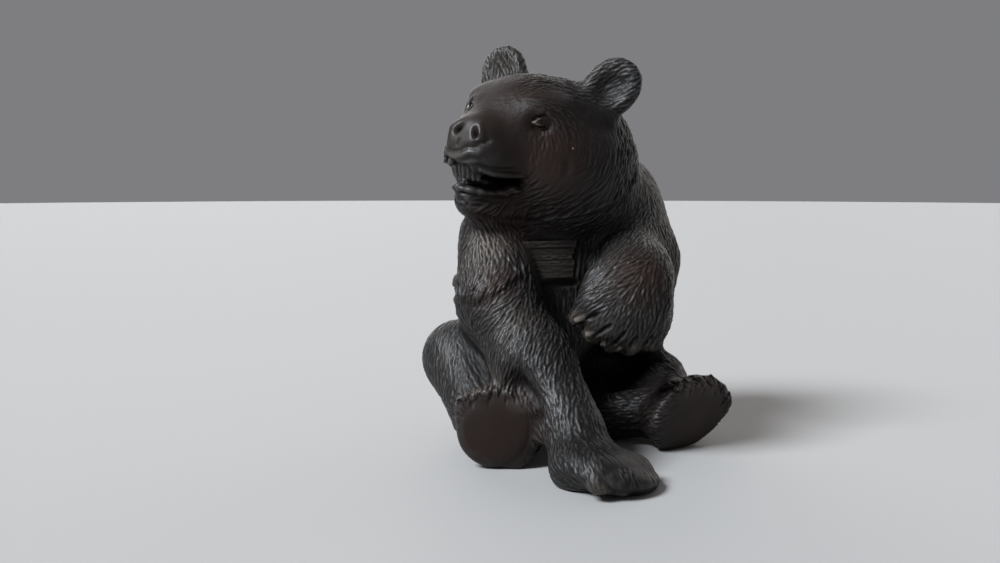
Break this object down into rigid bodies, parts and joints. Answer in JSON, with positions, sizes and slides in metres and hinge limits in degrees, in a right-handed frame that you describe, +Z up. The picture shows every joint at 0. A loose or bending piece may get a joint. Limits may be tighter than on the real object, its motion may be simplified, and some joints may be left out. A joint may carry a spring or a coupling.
{
  "type": "bear sculpture",
  "caption": "Seated bear cub cast in one piece with carved fur, head turned and mouth open, one forepaw planted in front and the other held at the chest.",
  "frame": {"origin": "under the middle of the figure's box, on the surface that it sits on", "axes": "+Z up, the chest faces -Y, the bear's own left side is +X"},
  "size_m": [0.084, 0.1104, 0.1149],
  "materials": {
    "patina": "cold-cast resin with a dark brown-black bronze patina, satin, rubbed paler on raised fur"
  },
  "bodies": {
    "root": {"bear": "patina"}
  },
  "joints": []
}
